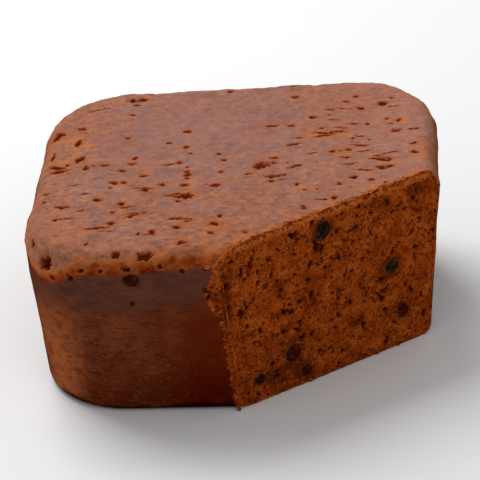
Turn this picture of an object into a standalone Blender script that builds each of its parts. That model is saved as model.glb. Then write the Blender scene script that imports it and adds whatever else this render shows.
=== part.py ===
"""A square fruit cake from a tapered round-cornered tin, with one corner wedge cut away.

The cake is one solid of crumb and crust. The fruit that shows at the cut and on the
sides is a solid of its own, each piece seated in a pocket of the cake and trimmed
flush by the same knife and the same tin as the cake around it.

Metres, +Z up. The origin is the middle of the base, -Y is the front, and the cut
runs from the front side back to the right side.
"""

import math
import random

import bmesh
import bpy
from mathutils import Matrix, Vector

# The whole cake, before the wedge was cut away
CAKE_LENGTH = 0.156
CAKE_DEPTH = 0.146
CAKE_HEIGHT = 0.069
CORNER_RADIUS = 0.035
SIDE_TAPER = 0.0042
BASE_ROUND = 0.0032
RIM_INSET = 0.010
RIM_HEIGHT = 0.008

# The cut that took the wedge away: where it starts on the front side, and its direction
CUT_START_X = -0.005
CUT_ANGLE = math.radians(36.5)
KNIFE_SIZE = 0.24

# The cake rose a little higher at the right and at the front, and its skin wanders
LEAN_X = 0.028
LEAN_Y = -0.020
WANDER = 0.0006

# Fruit seated in the cake
FIT_GAP = 0.0003
FRUIT_THICKNESS = 0.72
FRUIT_SUBDIVISIONS = 2
WRINKLE_DEPTH = 0.07

# Pits in the crust, where bubbles broke through
PIT_COUNT = 16
PIT_SEED = 4
PIT_LENGTH = (0.0030, 0.0055)
PIT_WIDTH = 0.0020
PIT_DEPTH = 0.0014
PIT_TURN = math.radians(25)
PIT_SPACING = 0.016
PIT_CLEAR_OF_RIM = 0.022

# How finely the outline and the profile are divided
CORNER_STEPS = 9
STRAIGHT_STEPS = 6
BASE_STEPS = 4
SIDE_STEPS = 5
RIM_STEPS = 6
CROWN_INSETS = (0.020, 0.032, 0.045, 0.056, 0.065)

HALF_LENGTH = CAKE_LENGTH / 2
HALF_DEPTH = CAKE_DEPTH / 2
RIM_LEVEL = CAKE_HEIGHT - RIM_HEIGHT
CUT_START = Vector((CUT_START_X, -HALF_DEPTH, 0))
CUT_ALONG = Vector((math.cos(CUT_ANGLE), math.sin(CUT_ANGLE), 0))
CUT_OUTWARD = Vector((math.sin(CUT_ANGLE), -math.cos(CUT_ANGLE), 0))

# Each fruit: its place, length and width in metres, and its tilt in degrees. The place
# is the distance along the cut or along the side, and the height.
CUT_FRUIT = (
    (0.0478, 0.0626, 0.0080, 0.0066, 80),
    (0.0174, 0.0098, 0.0060, 0.0048, 15),
    (0.0324, 0.0154, 0.0090, 0.0078, 60),
    (0.0915, 0.0650, 0.0060, 0.0042, 10),
    (0.0735, 0.0660, 0.0064, 0.0042, -20),
    (0.0383, 0.0058, 0.0062, 0.0048, 75),
    (0.0625, 0.0188, 0.0056, 0.0042, 20),
    (0.0790, 0.0360, 0.0086, 0.0066, -40),
    (0.0840, 0.0150, 0.0080, 0.0058, 65),
)
SIDE_FRUIT = (
    ("front", -0.0356, 0.0572, 0.0064, 0.0048, 0),
    ("left", -0.0140, 0.0290, 0.0086, 0.0066, 25),
    ("rear", -0.0290, 0.0330, 0.0100, 0.0076, -15),
    ("rear", 0.0240, 0.0190, 0.0078, 0.0060, 50),
    ("right", 0.0150, 0.0400, 0.0084, 0.0062, 30),
)
SIDE_TURNS = {"front": 0, "right": 90, "rear": 180, "left": 270}


def remove_all_objects():
    """Clears the scene, so that only the cake is in it."""
    for obj in list(bpy.data.objects):
        bpy.data.objects.remove(obj, do_unlink=True)


def make_material(name, colour, roughness):
    """A plain surface of one colour, given as linear red, green and blue."""
    material = bpy.data.materials.new(name)
    material.use_nodes = True
    shader = material.node_tree.nodes["Principled BSDF"]
    shader.inputs["Base Color"].default_value = (*colour, 1.0)
    shader.inputs["Roughness"].default_value = roughness
    shader.inputs["Metallic"].default_value = 0.0
    return material


def add_object(name, builder, material=None, place=None):
    """Turns a bmesh into a named object in the scene."""
    mesh = bpy.data.meshes.new(name)
    builder.to_mesh(mesh)
    builder.free()
    obj = bpy.data.objects.new(name, mesh)
    bpy.context.scene.collection.objects.link(obj)
    if material:
        mesh.materials.append(material)
        mesh.shade_smooth()
        mesh.set_sharp_from_angle(angle=math.radians(35))
    if place:
        obj.matrix_world = place
    return obj


def as_cutter(obj):
    """Marks an object as a tool that only shapes others."""
    obj.hide_render = True
    obj.display_type = "WIRE"
    return obj


def add_boolean(obj, tool, operation):
    """Cuts obj with tool, or keeps only what the two share."""
    modifier = obj.modifiers.new(f"{operation.lower()} {tool.name}", "BOOLEAN")
    modifier.operation = operation
    modifier.object = tool
    modifier.solver = "EXACT"


def profile():
    """The base, side, rim and crown as (inset from the tin's widest level, height)."""
    points = []
    for step in range(BASE_STEPS):
        angle = math.pi / 2 * step / BASE_STEPS
        inset = SIDE_TAPER + BASE_ROUND * (1 - math.sin(angle))
        points.append((inset, BASE_ROUND * (1 - math.cos(angle))))
    for step in range(SIDE_STEPS):
        share = step / SIDE_STEPS
        height = BASE_ROUND + (RIM_LEVEL - BASE_ROUND) * share
        points.append((SIDE_TAPER * (1 - share), height))
    for step in range(RIM_STEPS + 1):
        angle = math.pi / 2 * step / RIM_STEPS
        inset = RIM_INSET * (1 - math.cos(angle))
        points.append((inset, RIM_LEVEL + RIM_HEIGHT * math.sin(angle)))
    return points + [(inset, CAKE_HEIGHT) for inset in CROWN_INSETS]


def outline(inset):
    """The tin's round-cornered outline, moved inwards by inset."""
    half_x = HALF_LENGTH - inset
    half_y = HALF_DEPTH - inset
    radius = max(CORNER_RADIUS - inset, BASE_ROUND)
    points = []
    for quarter, (sign_x, sign_y) in enumerate(((1, 1), (-1, 1), (-1, -1), (1, -1))):
        centre = Vector((sign_x * (half_x - radius), sign_y * (half_y - radius)))
        for step in range(CORNER_STEPS + 1):
            angle = math.pi / 2 * (quarter + step / CORNER_STEPS)
            points.append(centre + radius * Vector((math.cos(angle), math.sin(angle))))
    divided = []
    for index, point in enumerate(points):
        divided.append(point)
        if (index + 1) % (CORNER_STEPS + 1) == 0:
            following = points[(index + 1) % len(points)]
            for step in range(1, STRAIGHT_STEPS):
                divided.append(point.lerp(following, step / STRAIGHT_STEPS))
    return divided


def as_baked(x, y, height):
    """Where a point of the tin's shape ended up: nothing moves at the base, most on top."""
    grown = height / CAKE_HEIGHT
    wave = math.sin(61 * x + 1.1) * math.cos(53 * y - 0.6) + 0.5 * math.sin(127 * x - 89 * y)
    push = WANDER * grown * wave
    outward = Vector((x, y)).normalized() * push
    lift = push + grown * (LEAN_X * x + LEAN_Y * y)
    return Vector((x + outward.x, y + outward.y, height + lift))


def make_cake(name, material=None):
    """The whole cake as rings of the outline, bridged from the base to the crown."""
    builder = bmesh.new()
    loops = []
    for inset, height in profile():
        ring = [builder.verts.new(as_baked(p.x, p.y, height)) for p in outline(inset)]
        loops.append([builder.edges.new(pair) for pair in zip(ring, ring[1:] + ring[:1])])
    for lower, upper in zip(loops, loops[1:]):
        bmesh.ops.bridge_loops(builder, edges=lower + upper)
    for rim in (loops[0], loops[-1]):
        bmesh.ops.contextual_create(builder, geom=rim)
    bmesh.ops.recalc_face_normals(builder, faces=builder.faces)
    return add_object(name, builder, material)


def make_knife():
    """The block of space that the cut took away, with its face on the cut."""
    builder = bmesh.new()
    bmesh.ops.create_cube(builder, size=KNIFE_SIZE)
    centre = CUT_START + CUT_ALONG * KNIFE_SIZE / 4 + CUT_OUTWARD * KNIFE_SIZE / 2
    place = Matrix.Translation(centre) @ Matrix.Rotation(CUT_ANGLE, 4, "Z")
    return as_cutter(add_object("knife", builder, place=place))


def cut_frame(along, height, tilt):
    """A frame on the cut: X along it, Y into the cake and Z up, tilted in the cut."""
    place = Matrix.Translation(CUT_START + CUT_ALONG * along + Vector((0, 0, height)))
    turn = Matrix.Rotation(CUT_ANGLE, 4, "Z")
    return place @ turn @ Matrix.Rotation(math.radians(tilt), 4, "Y")


def side_frame(side, along, height, tilt):
    """A frame on one of the tin's sides: X along it, Y into the cake and Z up."""
    turn = Matrix.Rotation(math.radians(SIDE_TURNS[side]), 4, "Z")
    reach = HALF_DEPTH if side in ("front", "rear") else HALF_LENGTH
    inset = SIDE_TAPER * (1 - height / RIM_LEVEL)
    place = Matrix.Translation((along, inset - reach, height))
    return turn @ place @ Matrix.Rotation(math.radians(tilt), 4, "Y")


def fruit_shape(length, width, phase, grow=0.0):
    """A dried fruit lying in its frame, wrinkled by waves round its long axis."""
    builder = bmesh.new()
    bmesh.ops.create_icosphere(builder, subdivisions=FRUIT_SUBDIVISIONS, radius=1.0)
    for vertex in builder.verts:
        x, y, z = vertex.co
        waves = math.sin(5 * math.atan2(z, y) + phase) * math.cos(3 * x + phase)
        size = (1 + WRINKLE_DEPTH * waves) / 2
        vertex.co = Vector((x * length, y * width * FRUIT_THICKNESS, z * width)) * size
    builder.normal_update()
    for vertex, normal in [(vertex, vertex.normal.copy()) for vertex in builder.verts]:
        vertex.co += normal * grow
    return builder


def fruit_list():
    """Every seated fruit as (name, frame, length, width)."""
    found = []
    for number, (along, height, length, width, tilt) in enumerate(CUT_FRUIT, 1):
        found.append((f"fruit_cut_{number}", cut_frame(along, height, tilt), length, width))
    for number, (side, along, height, length, width, tilt) in enumerate(SIDE_FRUIT, 1):
        frame = side_frame(side, along, height, tilt)
        found.append((f"fruit_side_{number}", frame, length, width))
    return found


def seat_fruit(cake, cut_shape, material):
    """Adds each fruit, trims it flush with the cake, and cuts its pocket."""
    pockets = bmesh.new()
    for phase, (name, frame, length, width) in enumerate(fruit_list()):
        fruit = add_object(name, fruit_shape(length, width, phase), material, frame)
        add_boolean(fruit, cut_shape, "INTERSECT")
        pocket = bpy.data.meshes.new("pocket")
        shape = fruit_shape(length, width, phase, grow=FIT_GAP)
        shape.transform(frame)
        shape.to_mesh(pocket)
        shape.free()
        pockets.from_mesh(pocket)
        bpy.data.meshes.remove(pocket)
    add_boolean(cake, as_cutter(add_object("pockets", pockets)), "DIFFERENCE")


def pit_places():
    """Seeded places for pits on the crown, clear of the rim, the cut and each other."""
    draw = random.Random(PIT_SEED)
    places = []
    while len(places) < PIT_COUNT:
        x = draw.uniform(-1, 1) * (HALF_LENGTH - PIT_CLEAR_OF_RIM)
        y = draw.uniform(-1, 1) * (HALF_DEPTH - PIT_CLEAR_OF_RIM)
        spot = Vector((x, y, 0))
        from_cut = (CUT_START - spot).dot(CUT_OUTWARD)
        crowded = any((spot - other).length < PIT_SPACING for other in places)
        if from_cut > PIT_SPACING and not crowded:
            places.append(spot)
    return places


def cut_pits(cake):
    """Shallow lens-shaped pits in the crown, mostly long from side to side."""
    draw = random.Random(PIT_SEED)
    pits = bmesh.new()
    for spot in pit_places():
        length = draw.uniform(*PIT_LENGTH)
        turn = Matrix.Rotation(draw.uniform(-PIT_TURN, PIT_TURN), 4, "Z")
        size = Matrix.Diagonal((length / 2, PIT_WIDTH / 2, PIT_DEPTH, 1))
        place = Matrix.Translation(as_baked(spot.x, spot.y, CAKE_HEIGHT)) @ turn @ size
        bmesh.ops.create_icosphere(pits, subdivisions=1, radius=1.0, matrix=place)
    add_boolean(cake, as_cutter(add_object("pits", pits)), "DIFFERENCE")


def main():
    remove_all_objects()
    crust = make_material("crust", (0.30, 0.135, 0.095), 0.55)
    dried_fruit = make_material("dried_fruit", (0.020, 0.016, 0.012), 0.45)
    knife = make_knife()

    cake = make_cake("cake", crust)
    add_boolean(cake, knife, "DIFFERENCE")

    cut_shape = as_cutter(make_cake("cut_shape"))
    add_boolean(cut_shape, knife, "DIFFERENCE")

    seat_fruit(cake, cut_shape, dried_fruit)
    cut_pits(cake)


main()
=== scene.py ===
# %% [markdown]
# # A cut fruit cake
# This lesson dresses a square fruit cake from which one corner wedge has been cut. The cake is
# dark and moist: a thin satin skin on top, a darker skin where the tin was, partly painted shade
# of sides that face away from the lamp, and an open orange brown crumb with raisins at the cut.
# The frame gives its size and place, and every piece here is modelled around that frame.

# %% The frame
import math
import random
from collections import namedtuple

import bmesh
import bpy
import numpy as np
from mathutils import Matrix, Vector, noise


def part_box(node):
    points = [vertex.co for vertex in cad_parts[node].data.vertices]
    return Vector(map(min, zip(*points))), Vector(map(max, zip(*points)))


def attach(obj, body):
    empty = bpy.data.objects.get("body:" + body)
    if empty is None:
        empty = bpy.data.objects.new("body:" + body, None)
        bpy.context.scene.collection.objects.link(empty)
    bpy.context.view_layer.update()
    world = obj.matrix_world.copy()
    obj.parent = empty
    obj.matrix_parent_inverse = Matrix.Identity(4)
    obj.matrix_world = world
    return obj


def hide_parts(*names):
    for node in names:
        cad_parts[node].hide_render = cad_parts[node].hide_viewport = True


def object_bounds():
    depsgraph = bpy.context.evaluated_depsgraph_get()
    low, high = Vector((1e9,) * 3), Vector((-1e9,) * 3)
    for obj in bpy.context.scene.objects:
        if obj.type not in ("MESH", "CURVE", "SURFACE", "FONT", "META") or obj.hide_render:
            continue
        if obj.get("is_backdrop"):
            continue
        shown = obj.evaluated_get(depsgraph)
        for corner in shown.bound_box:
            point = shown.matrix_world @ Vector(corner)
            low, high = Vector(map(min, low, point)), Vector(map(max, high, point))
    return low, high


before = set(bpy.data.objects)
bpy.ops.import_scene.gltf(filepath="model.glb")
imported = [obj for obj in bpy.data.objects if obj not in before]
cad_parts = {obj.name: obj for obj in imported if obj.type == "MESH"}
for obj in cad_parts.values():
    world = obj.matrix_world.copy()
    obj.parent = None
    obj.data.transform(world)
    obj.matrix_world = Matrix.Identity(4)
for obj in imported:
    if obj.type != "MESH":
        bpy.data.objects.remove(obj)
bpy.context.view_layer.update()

MM = 0.001
cake_low, cake_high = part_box("cake")


def in_mm(size):
    """A size in millimetres, for printing."""
    return " x ".join(f"{value / MM:.1f}" for value in size) + " mm"


print("cake", in_mm(cake_high - cake_low))

# %% [markdown]
# ## Tools for the bench
# An operator acts on all that is selected, and the frame arrives selected. So a piece starts
# with nothing selected, and faces and edges are then picked by their place or their normal,
# as one would point at them by hand.


# %% Picking by place
def put_down():
    """Leaves edit mode and lets go of everything."""
    if bpy.context.object and bpy.context.object.mode != "OBJECT":
        bpy.ops.object.mode_set(mode="OBJECT")
    bpy.ops.object.select_all(action="DESELECT")


def take(piece):
    """Lets go of everything and takes up one piece."""
    put_down()
    piece.select_set(True)
    bpy.context.view_layer.objects.active = piece


def add(operator, name, **settings):
    """Adds one object by its operator and names it."""
    put_down()
    operator(**settings)
    bpy.context.object.name = name
    return bpy.context.object


def edit(piece):
    """Takes up one piece and enters edit mode; put_down leaves it again."""
    take(piece)
    bpy.ops.object.mode_set(mode="EDIT")


def pick(kind, test):
    """In edit mode, selects the "verts", "edges" or "faces" that pass a test."""
    bpy.ops.mesh.select_mode(type=kind[:-1].upper())
    bpy.ops.mesh.select_all(action="DESELECT")
    mesh = bpy.context.edit_object.data
    builder = bmesh.from_edit_mesh(mesh)
    for element in getattr(builder, kind):
        if test(element):
            element.select_set(True)
    builder.select_flush_mode()
    bmesh.update_edit_mesh(mesh)


# %% Changing a whole piece
def settle(piece):
    """Puts the place, turn and size of an object into its mesh."""
    take(piece)
    bpy.ops.object.transform_apply(location=True, rotation=True, scale=True)


def modify(piece, kind, **settings):
    """Adds one modifier with its settings and applies it."""
    take(piece)
    modifier = piece.modifiers.new(kind.title(), kind)
    for name, value in settings.items():
        setattr(modifier, name, value)
    bpy.ops.object.modifier_apply(modifier=modifier.name)


def duplicate(piece, name):
    """A copy with a mesh of its own."""
    take(piece)
    bpy.ops.object.duplicate(linked=False)
    copy = bpy.context.object
    copy.name = name
    return copy


# %% Whole meshes as arrays
def read(layer, name, width=1):
    """What every element of a layer holds under a name, as one array."""
    found = np.empty(len(layer) * width, dtype=np.float32)
    layer.foreach_get(name, found)
    return found.reshape(-1, width).astype(float)


def points_of(piece):
    """All vertices of a piece."""
    return read(piece.data.vertices, "co", 3)


def set_points(piece, points):
    """Moves all vertices of a piece at once."""
    piece.data.vertices.foreach_set("co", points.astype(np.float32).ravel())
    piece.data.update()


def store(piece, name, values):
    """Keeps one number at each vertex, for a material to read."""
    layer = piece.data.attributes.get(name)
    if layer is None:
        layer = piece.data.attributes.new(name, "FLOAT", "POINT")
    layer.data.foreach_set("value", np.asarray(values, dtype=np.float32))


def stored(piece, name):
    """The numbers kept at the vertices under a name, or 0 everywhere if there are none."""
    layer = piece.data.attributes.get(name)
    return read(layer.data, "value")[:, 0] if layer else np.zeros(len(piece.data.vertices))


def faces_of(piece, what):
    """The centres or the normals of all faces of a piece."""
    return read(piece.data.polygons, what, 3)


def triangles(piece):
    """How many triangles a piece holds."""
    return sum(len(face.vertices) - 2 for face in piece.data.polygons)


# %% Steps, hills and noise
def soft_step(values, low, high):
    """0 below low, 1 above high, and a smooth rise between them."""
    share = np.clip((values - low) / (high - low), 0, 1)
    return share * share * (3 - 2 * share)


def hill(x, y, middle_x, middle_y, length, depth):
    """A smooth hill over x and y: 1 at its middle, with its place and its reach given in mm."""
    return np.exp(-(((x - middle_x * MM) / (length * MM))**2
                    + ((y - middle_y * MM) / (depth * MM))**2))


def grain(points, size, seed):
    """Smooth noise from -1 to 1 at every point, with lumps of about the given size."""
    shift = Vector((seed * 7.1, seed * 3.7, seed * 5.3))
    return np.array([noise.noise(Vector(point) / size + shift) for point in points])


def wobble(points, size, seeds):
    """Smooth noise in three directions at every point, from three seeds."""
    return np.stack([grain(points, size, seed) for seed in seeds], axis=1)

# %% [markdown]
# ## The tin's shape
# The batter took the shape of a tapered tin with round corners and rose a little above it.
# It could be a scaled and bevelled cube, but the rim is no plain round: above a crisp crease,
# where the batter met the tin, it leans in and then turns over a tight shoulder. So the walls
# start as a cube with bevelled uprights, and the rim and the base are rings of insets, each
# with its own width and rise.

# %% Sizes, in metres
CAKE_LENGTH, CAKE_DEPTH, CAKE_HEIGHT = 0.156, 0.146, 0.069
CORNER_RADIUS = 0.035
SIDE_TAPER = 0.0042
BASE_ROUND = 0.0032
RIM_LEVEL = 0.061
FACET_INSET, FACET_RISE = 0.0022, 0.0046
SHOULDER_INSET, SHOULDER_RISE = 0.0048, 0.0034
SHOULDER_START = math.radians(26)
LEAN_X, LEAN_Y = 0.028, -0.02
CUT_ANGLE = math.radians(36.5)
CUT_START = Vector((-0.005, -CAKE_DEPTH / 2, 0))
CUT_ALONG = Vector((math.cos(CUT_ANGLE), math.sin(CUT_ANGLE), 0))
CUT_OUTWARD = Vector((math.sin(CUT_ANGLE), -math.cos(CUT_ANGLE), 0))

# %% Walls, rim and base
CORNER_STEPS, SHOULDER_STEPS, BASE_STEPS = 14, 6, 5
crust = add(bpy.ops.mesh.primitive_cube_add, "cake_crust", size=1)
crust.scale = (CAKE_LENGTH, CAKE_DEPTH, RIM_LEVEL - BASE_ROUND)
crust.location.z = (RIM_LEVEL + BASE_ROUND) / 2
settle(crust)

edit(crust)
pick("edges", lambda edge: abs(edge.verts[0].co.z - edge.verts[1].co.z) > BASE_ROUND)
bpy.ops.mesh.bevel(offset=CORNER_RADIUS, segments=CORNER_STEPS)
pick("verts", lambda vert: vert.co.z < RIM_LEVEL / 2)
bpy.ops.transform.resize(
    value=(1 - 2 * SIDE_TAPER / CAKE_LENGTH, 1 - 2 * SIDE_TAPER / CAKE_DEPTH, 1),
    center_override=(0, 0, BASE_ROUND),
)


def ring_steps(start, steps, inset, rise):
    """The widths and rises of insets that together turn along part of an ellipse."""
    angles = [start + (math.pi / 2 - start) * step / steps for step in range(steps + 1)]
    across = [inset * (1 - math.cos(angle) / math.cos(start)) for angle in angles]
    up = [rise * (math.sin(angle) - math.sin(start)) / (1 - math.sin(start)) for angle in angles]
    return zip(np.diff(across), np.diff(up))


pick("faces", lambda face: face.normal.z > 0.9)
bpy.ops.mesh.inset(thickness=FACET_INSET, depth=FACET_RISE)
for width, rise in ring_steps(SHOULDER_START, SHOULDER_STEPS, SHOULDER_INSET, SHOULDER_RISE):
    bpy.ops.mesh.inset(thickness=width, depth=rise)
pick("faces", lambda face: face.normal.z < -0.9)
for width, rise in ring_steps(0, BASE_STEPS, BASE_ROUND, BASE_ROUND):
    bpy.ops.mesh.inset(thickness=width, depth=rise)
put_down()
print("tin shape", in_mm(crust.dimensions))

# %% [markdown]
# ## An even skin
# The rings are a few long faces. A voxel remesh wraps the shape in small even squares, which
# is what modelling pits and wrinkles needs. The flat base goes back to one face later on.

# %% Wrap it in small squares
SKIN_CELL = 1.4 * MM
modify(crust, "REMESH", mode="VOXEL", voxel_size=SKIN_CELL)
print("skin", len(crust.data.polygons), "faces")

# %% [markdown]
# ## Lean and wander
# The cake rose higher at the right and at the front, and its skin wanders by half a
# millimetre. A lattice of eight points leans the whole shape without bending its walls, and a
# Displace modifier with soft clouds moves the skin, fading out towards the base.

# %% Lean it with a lattice
cage = add(bpy.ops.object.add, "cage", type="LATTICE", location=(0, 0, CAKE_HEIGHT / 2))
cage.scale = (CAKE_LENGTH, CAKE_DEPTH, CAKE_HEIGHT)
for axis in "uvw":
    setattr(cage.data, f"interpolation_type_{axis}", "KEY_LINEAR")
for point in cage.data.points:
    if point.co.z > 0:
        lift = LEAN_X * point.co.x * CAKE_LENGTH + LEAN_Y * point.co.y * CAKE_DEPTH
        point.co_deform.z += lift / CAKE_HEIGHT
modify(crust, "LATTICE", object=cage)
bpy.data.objects.remove(cage)


# %% Let the skin wander
WEIGHT_STEPS = 40
WANDER_SIZE, WANDER = 26 * MM, 2.2 * MM


def weigh(piece, name, values):
    """A vertex group with a weight for each vertex, in even steps."""
    group = piece.vertex_groups.new(name=name)
    steps = np.rint(np.asarray(values) * WEIGHT_STEPS).astype(int)
    for step in range(1, WEIGHT_STEPS + 1):
        members = np.nonzero(steps == step)[0].tolist()
        if members:
            group.add(members, step / WEIGHT_STEPS, "REPLACE")
    return name


def clouds(name, size, kind="SOFT_NOISE", depth=2):
    """A procedural clouds texture with lumps of about the given size."""
    texture = bpy.data.textures.new(name, "CLOUDS")
    texture.noise_scale = size
    texture.noise_type = kind
    texture.noise_depth = depth
    return texture


def ruffle(piece, texture, strength, mid_level=0.5, coords="LOCAL", **settings):
    """Moves a surface out where a texture is light and in where it is dark."""
    modify(piece, "DISPLACE", texture=texture, texture_coords=coords, strength=strength,
           mid_level=mid_level, **settings)


risen = weigh(crust, "risen", soft_step(points_of(crust)[:, 2], 0, RIM_LEVEL))
ruffle(crust, clouds("wander", WANDER_SIZE), WANDER, vertex_group=risen)

# %% [markdown]
# The crease is not level either. It climbs from the front left corner towards the cut, and a
# thin ledge of skin stands out along it. A function says where it lies, because the tears and
# the colours need to know as well.


# %% The crease
CREASE_CLIMB = (  # x and how much higher the crease lies there at the front, in mm
    (-78, -3), (-66, -2.2), (-50, 0), (-20, 1.6), (0, 1.8), (78, 0),
)
BEND_REACH = 5 * MM
LEDGE_HEIGHT, LEDGE_PROUD = 0.9 * MM, 0.35 * MM


def towards_front(points):
    """0 in the middle of the cake and 1 at its front side."""
    return soft_step(-points[:, 1], 40 * MM, 66 * MM)


def level_before(points):
    """The height of the crease next to every point before it is bent."""
    return RIM_LEVEL + LEAN_X * points[:, 0] + LEAN_Y * points[:, 1]


def crease_level(points):
    """The height of the bent crease next to every point."""
    along_front, climb = np.array(CREASE_CLIMB).T * MM
    return level_before(points) + towards_front(points) * np.interp(points[:, 0], along_front, climb)


points = points_of(crust)
above = points[:, 2] - level_before(points)
points[:, 2] += (crease_level(points) - level_before(points)) * np.exp(-(above / BEND_REACH)**2)
above = points[:, 2] - crease_level(points)
ledge = LEDGE_PROUD * np.exp(-(above / LEDGE_HEIGHT)**2)
points[:, :2] *= 1 + (ledge / np.linalg.norm(points[:, :2], axis=1))[:, None]
set_points(crust, points)
whole_cake = duplicate(crust, "whole_cake")
print("leaning cake", in_mm(crust.dimensions))

# %% [markdown]
# ## Pits and tears
# Steam broke through the skin as it baked and left lens shaped pits and tears, most of them
# lying left to right, with dark red brown insides and a thin lifted lip. They could be cut by
# Booleans, but torn skin has no clean edge. So each is a brush stroke that presses the skin
# in, after the places have been warped a little, which makes every outline ragged. The skin
# keeps how hollow it is at each point, for the material.


# %% A brush stroke
# A stroke is pressed inward. A lens is pointed at both ends, and any other stroke is round.
Stroke = namedtuple("Stroke", "centre along inward length width depth lens", defaults=[False])
RAGGED_BY_WIDTH, RAGGED_BY_LENGTH = 0.24, 0.05
REACH_INWARD = 5 * MM
FAR_OFF = 9
LIP = 0.05


def reach_of(points, stroke, warp):
    """How far each point lies from a stroke's middle: 0 there, and 1 at its outline."""
    ragged = warp * (RAGGED_BY_WIDTH * stroke.width + RAGGED_BY_LENGTH * stroke.length)
    offset = points + ragged - np.array(stroke.centre)
    lengthwise = offset @ np.array(stroke.along) / (stroke.length / 2)
    sideways = offset @ np.array(stroke.along.cross(stroke.inward)) / (stroke.width / 2)
    if stroke.lens:
        reach = lengthwise**2 + np.abs(sideways)
    else:
        reach = np.sqrt(lengthwise**2 + sideways**2)
    inward = (points - np.array(stroke.centre)) @ np.array(stroke.inward)
    reach[np.abs(inward) > REACH_INWARD] = FAR_OFF
    return reach


def press(piece, strokes, warp_size=1.5 * MM, share=1, stain=1):
    """Presses strokes into a piece, and keeps how hollow and how near a stroke each point is."""
    points = points_of(piece)
    before = points.copy()
    warp = wobble(points, warp_size, (1, 2, 3))
    hollow, halo = stored(piece, "hollow"), stored(piece, "halo")
    for stroke in strokes:
        reach = reach_of(before, stroke, warp)
        pressed = soft_step(1 - reach, 0.0, 0.8)
        raised = soft_step(reach, 0.8, 1.1) * (1 - soft_step(reach, 1.1, 1.7))
        move = (pressed - LIP * raised) * stroke.depth * share
        points += move[:, None] * np.array(stroke.inward)
        hollow = np.maximum(hollow, stain * pressed)
        halo = np.maximum(halo, 1 - soft_step(reach, 0.9, 1.9))
    set_points(piece, points)
    store(piece, "hollow", hollow)
    store(piece, "halo", halo)


# %% Where the skin broke
TORN = (  # x, y, length, width in mm and turn in degrees, for the tears that one notices
    (-18, -26, 8, 7, 12), (-19, -17, 3.8, 3, 5), (-18, -9, 3.8, 2.8, 0),
    (-26, 1, 8, 2, 4), (-22, 2, 3, 3, 0), (-20, 29, 4.4, 3, 0), (-27, 19, 3, 2.2, 0),
    (-20, 15, 3, 2.6, 20), (-44, -2, 3.8, 3, 0), (-35, -8, 4.4, 2.8, 0), (-63, 23, 7, 3.2, 78),
    (-61, 8, 8, 4, 65), (-58, 0, 4, 3, 40), (-72, 31, 9, 5, 62), (-72, 12, 8, 2, 80),
    (-68, -1, 10, 3.2, 8), (-46, -14, 6.6, 2.6, -38), (-51, -27, 4.4, 2.8, 0),
    (-64, -32, 7, 2.8, 0), (-37, -41, 6.6, 3.4, 24), (-50, -49, 12, 2.4, 5),
    (-19, -45, 12, 2.2, -8), (-6, -51, 5, 4.4, -14), (-7, -19, 7, 3, 6),
    (10, -4, 7.6, 7, 70), (15, 2, 4.6, 3, -12), (13, 31, 6, 3, 16), (-42, 60, 11, 4, 3),
    (-57, 53, 12, 1.6, 4), (48, 43, 4.2, 3.4, -25), (57, 47, 4.2, 4.2, 0), (22, 56, 4.2, 3, 0),
    (34, 22, 12, 2.6, -4), (22, 13, 8, 2, 6), (37, 4, 3.6, 3.8, 0), (62, 21, 5, 3.4, 0),
    (56, -3, 12, 2.8, -8), (56, -10, 5.4, 3.4, 5), (15, -14, 8, 3, 9), (38, -35, 3, 3.4, 0),
    (-17, -65, 5, 3.6, 3), (-41, -69, 4.2, 3.6, 0), (-30, -70, 8, 3, 4),
)
RIM_HOLES = (  # x, y, height and width in mm, for round holes along the front left rim
    (-70, -63, 62, 6.2), (-75, -52, 64, 3.4), (-60, -70, 60, 2.8), (-55, -71, 62.5, 3),
    (-68, -66, 57.5, 2.6), (-47, -72, 63, 2.2), (-38, -73, 64, 3), (-25, -73, 65, 2.4),
    (-17, -73, 63, 2), (-8, -73, 64, 2.6), (-9, -72, 54, 1.9), (-36, -72, 49, 2.2),
)
print("noticed tears", len(TORN), "rim holes", len(RIM_HOLES))

# %% Strokes for tears and holes
DOWN, BACK = Vector((0, 0, -1)), Vector((0, 1, 0))
RIM_HOLES_CLIMB = 40  # mm that the way out of a rim hole climbs, from the cake's axis to the hole


def top_level(x, y):
    """The height of the crown over a place, before its pits."""
    return CAKE_HEIGHT + LEAN_X * x + LEAN_Y * y


def from_cut(x, y):
    """How far a place lies behind the cut."""
    return (CUT_START - Vector((x, y, 0))).dot(CUT_OUTWARD)


def tear(x, y, length, width, turn):
    """A stroke for one tear in the crown; a slim one is pointed like a lens."""
    along = Vector((math.cos(turn), math.sin(turn), 0))
    depth = 0.25 * MM + 0.19 * width
    return Stroke(Vector((x, y, top_level(x, y))), along, DOWN, length, width, depth,
                  lens=width < 0.55 * length)


def dent(centre, inward, length, width, depth):
    """A round stroke that lies level in a wall."""
    along = inward.cross(Vector((0, 0, 1))).normalized()
    return Stroke(centre, along, inward, length, width, depth)


def tears_at(places):
    """Tears at places that are listed in mm and degrees."""
    return [tear(*(value * MM for value in place[:4]), math.radians(place[4])) for place in places]


tears = tears_at(TORN)
for x, y, height, width in RIM_HOLES:
    centre = Vector((x, y, height)) * MM
    inward = -(Vector((x, y, RIM_HOLES_CLIMB)).normalized())
    tears.append(dent(centre, inward, width * MM * 1.2, width * MM, 0.5 * width * MM))
print("tears and holes", len(tears))

# %% Seeded tears and grooves between them
CROWN_MARGIN, CUT_MARGIN = 5 * MM, 2.5 * MM
STREAK_DEPTH = 0.3 * MM


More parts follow.
